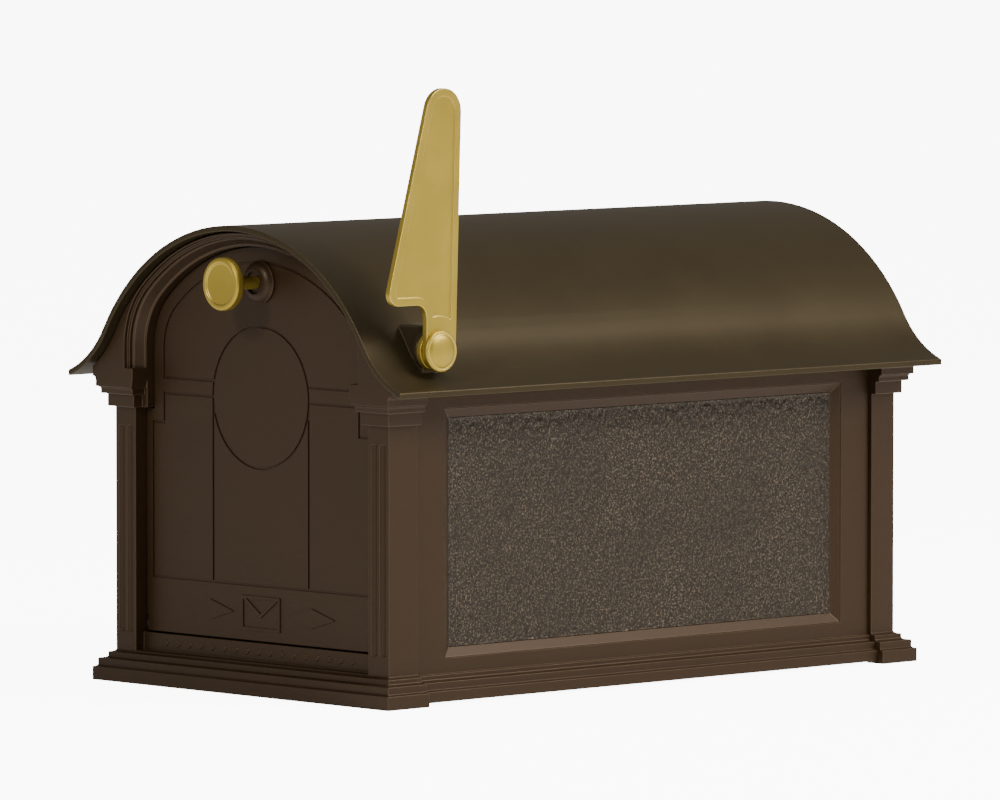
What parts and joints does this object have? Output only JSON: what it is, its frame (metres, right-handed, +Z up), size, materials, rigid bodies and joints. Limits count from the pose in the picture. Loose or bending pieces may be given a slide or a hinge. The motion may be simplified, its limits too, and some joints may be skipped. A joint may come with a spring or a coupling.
{
  "type": "curbside mailbox",
  "caption": "Cast curbside mailbox with pilastered front, barrel roof, drop-down arched door with knob, hammered side plaques and a pivoting signal flag.",
  "frame": {"origin": "centre of the four post-bolt holes, on the plane the box stands on", "axes": "+X towards the flag side, -Y out of the door (front), +Z up"},
  "size_m": [0.343, 0.539, 0.423],
  "materials": {
    "bronze_coat": "satin powder coat over die-cast aluminium",
    "bronze_roof": "satin powder coat over die-cast aluminium",
    "hammered_bronze": "powder coat over a hammered casting",
    "satin_brass": "satin",
    "zinc_steel": "zinc plated",
    "magnet_black": "matt, bonded ferrite",
    "black_rubber": "matt",
    "nylon": "black, matt"
  },
  "bodies": {
    "box": {"floor_plate": "bronze_coat", "floor_screws": "zinc_steel", "side_wall_right": "bronze_coat", "side_wall_left": "bronze_coat", "plaque_right": "hammered_bronze", "plaque_left": "hammered_bronze", "plaque_screws": "zinc_steel", "front_frame": "bronze_coat", "rear_frame": "bronze_coat", "rear_panel": "bronze_coat", "rear_panel_screws": "zinc_steel", "frame_screws": "zinc_steel", "roof_shell": "bronze_roof", "roof_screws": "zinc_steel", "hinge_pin_right": "zinc_steel", "hinge_pin_left": "zinc_steel", "door_magnet": "magnet_black", "magnet_bracket": "zinc_steel", "magnet_screws": "zinc_steel", "door_bumpers": "black_rubber", "flag_pivot_bolt": "satin_brass", "flag_wave_washer": "zinc_steel", "flag_washer": "zinc_steel", "flag_lock_nut": "zinc_steel"},
    "door": {"door_panel": "bronze_coat", "door_knob": "satin_brass", "knob_rosette": "bronze_coat", "knob_nut": "zinc_steel", "strike_plate": "zinc_steel", "strike_rivets": "zinc_steel", "hinge_bush_right": "nylon", "hinge_bush_left": "nylon"},
    "flag": {"flag_blade": "satin_brass", "flag_spacer": "satin_brass", "flag_bush": "nylon"}
  },
  "joints": [
    {"name": "door_hinge", "type": "hinge", "parent": "box", "child": "door", "pos_m": [0, -0.23175, 0.0408], "axis": [1, 0, 0], "range_deg": [0, 90]},
    {"name": "flag_pivot", "type": "hinge", "parent": "box", "child": "flag", "pos_m": [0.159, -0.21855, 0.244], "axis": [1, 0, 0], "range_deg": [-88, 0]}
  ]
}
